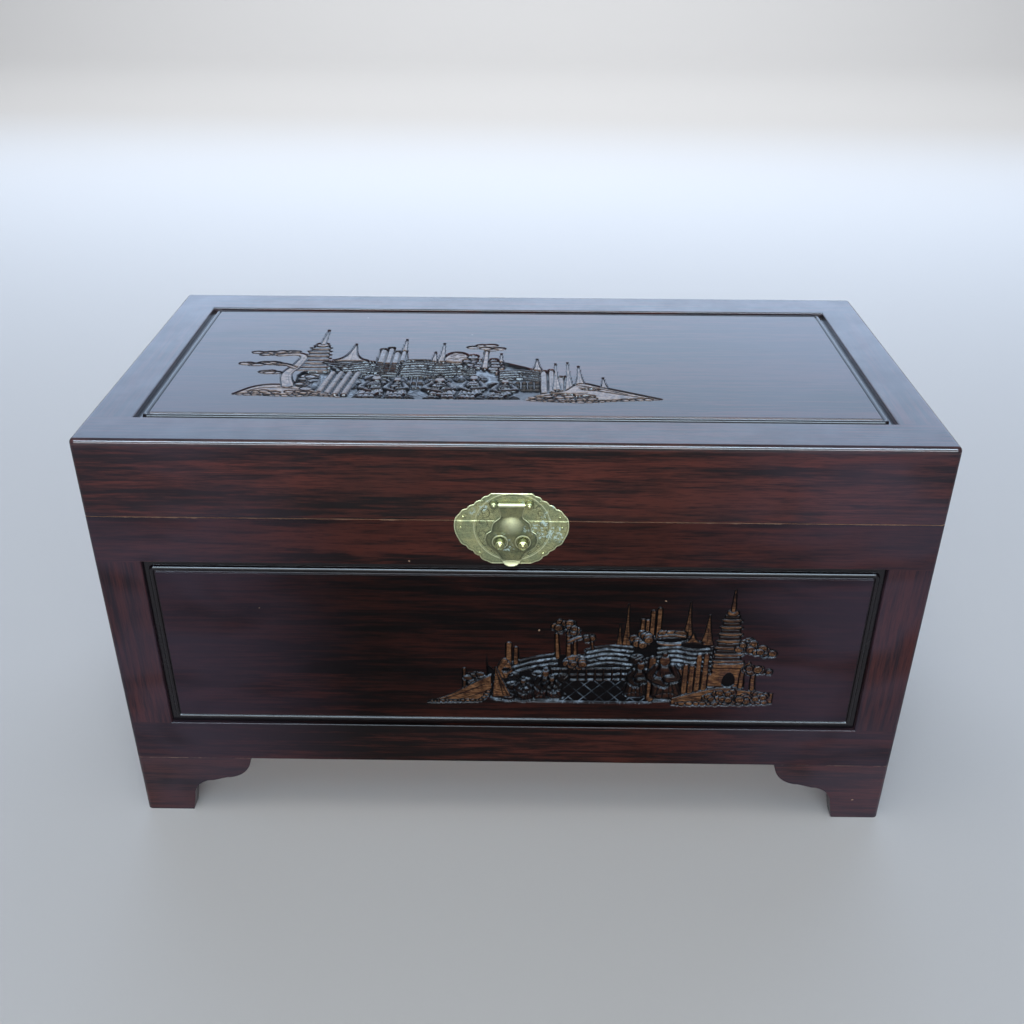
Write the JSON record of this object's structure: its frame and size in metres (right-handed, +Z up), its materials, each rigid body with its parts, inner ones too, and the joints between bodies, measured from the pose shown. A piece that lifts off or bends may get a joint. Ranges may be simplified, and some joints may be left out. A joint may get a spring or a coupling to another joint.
{
  "type": "wooden chest",
  "caption": "Framed and panelled wooden chest on bracket feet with a hinged lid, carved landscape panels and a brass hasp lock plate.",
  "frame": {"origin": "on the floor under the middle of the chest", "axes": "+X to the right along the front, +Y from the front to the hinged back, +Z up"},
  "size_m": [1.016, 0.5353, 0.572],
  "materials": {
    "lacquered_wood": "dark red-brown gloss lacquer over horizontal grain",
    "panel_lacquer": "dark red-brown gloss lacquer, carved scenes rubbed back to tan",
    "raw_camphor": "unfinished camphor wood",
    "aged_brass": "engraved sheet brass with a dull olive patina",
    "hinge_brass": "plain brass, dulled"
  },
  "bodies": {
    "case": {"back_bottom_board": "lacquered_wood", "back_middle_board": "lacquered_wood", "back_top_board": "lacquered_wood", "bottom_board_1": "raw_camphor", "bottom_board_2": "raw_camphor", "bottom_board_3": "raw_camphor", "bottom_cleats": "raw_camphor", "end_front_left_bracket": "lacquered_wood", "end_front_right_bracket": "lacquered_wood", "end_rear_left_bracket": "lacquered_wood", "end_rear_right_bracket": "lacquered_wood", "foot_blocks": "raw_camphor", "foot_front_left_bracket": "lacquered_wood", "foot_front_right_bracket": "lacquered_wood", "foot_rear_left_bracket": "lacquered_wood", "foot_rear_right_bracket": "lacquered_wood", "front_bottom_rail": "lacquered_wood", "front_left_stile": "lacquered_wood", "front_panel": "panel_lacquer", "front_right_stile": "lacquered_wood", "front_top_rail": "lacquered_wood", "hinge_case_screws": "hinge_brass", "hinge_left_case_leaf": "hinge_brass", "hinge_pins": "hinge_brass", "hinge_right_case_leaf": "hinge_brass", "left_bottom_rail": "lacquered_wood", "left_front_stile": "lacquered_wood", "left_panel": "panel_lacquer", "left_rear_stile": "lacquered_wood", "left_top_rail": "lacquered_wood", "lock_plate_lower": "aged_brass", "lock_post_left": "aged_brass", "lock_post_right": "aged_brass", "plate_pins_lower": "aged_brass", "right_bottom_rail": "lacquered_wood", "right_front_stile": "lacquered_wood", "right_panel": "panel_lacquer", "right_rear_stile": "lacquered_wood", "right_top_rail": "lacquered_wood", "rim_lip_front": "raw_camphor", "rim_lip_left": "raw_camphor", "rim_lip_right": "raw_camphor"},
    "lid": {"lid_front_board": "lacquered_wood", "lid_back_board": "lacquered_wood", "lid_left_board": "lacquered_wood", "lid_right_board": "lacquered_wood", "lid_front_rail": "lacquered_wood", "lid_rear_rail": "lacquered_wood", "lid_left_stile": "lacquered_wood", "lid_right_stile": "lacquered_wood", "lid_panel": "panel_lacquer", "lock_plate_upper": "aged_brass", "hasp_rod": "aged_brass", "hasp_studs": "aged_brass", "plate_pins_upper": "aged_brass", "hinge_left_lid_leaf": "hinge_brass", "hinge_right_lid_leaf": "hinge_brass", "hinge_lid_screws": "hinge_brass"},
    "hasp": {"hasp": "aged_brass"}
  },
  "joints": [
    {"name": "lid_hinge", "type": "hinge", "parent": "case", "child": "lid", "pos_m": [0, 0.2588, 0.4714], "axis": [-1, 0, 0], "range_deg": [0, 95]},
    {"name": "hasp_swing", "type": "hinge", "parent": "lid", "child": "hasp", "pos_m": [-0.0024, -0.2594, 0.495], "axis": [-1, 0, 0], "range_deg": [0, 180]}
  ]
}
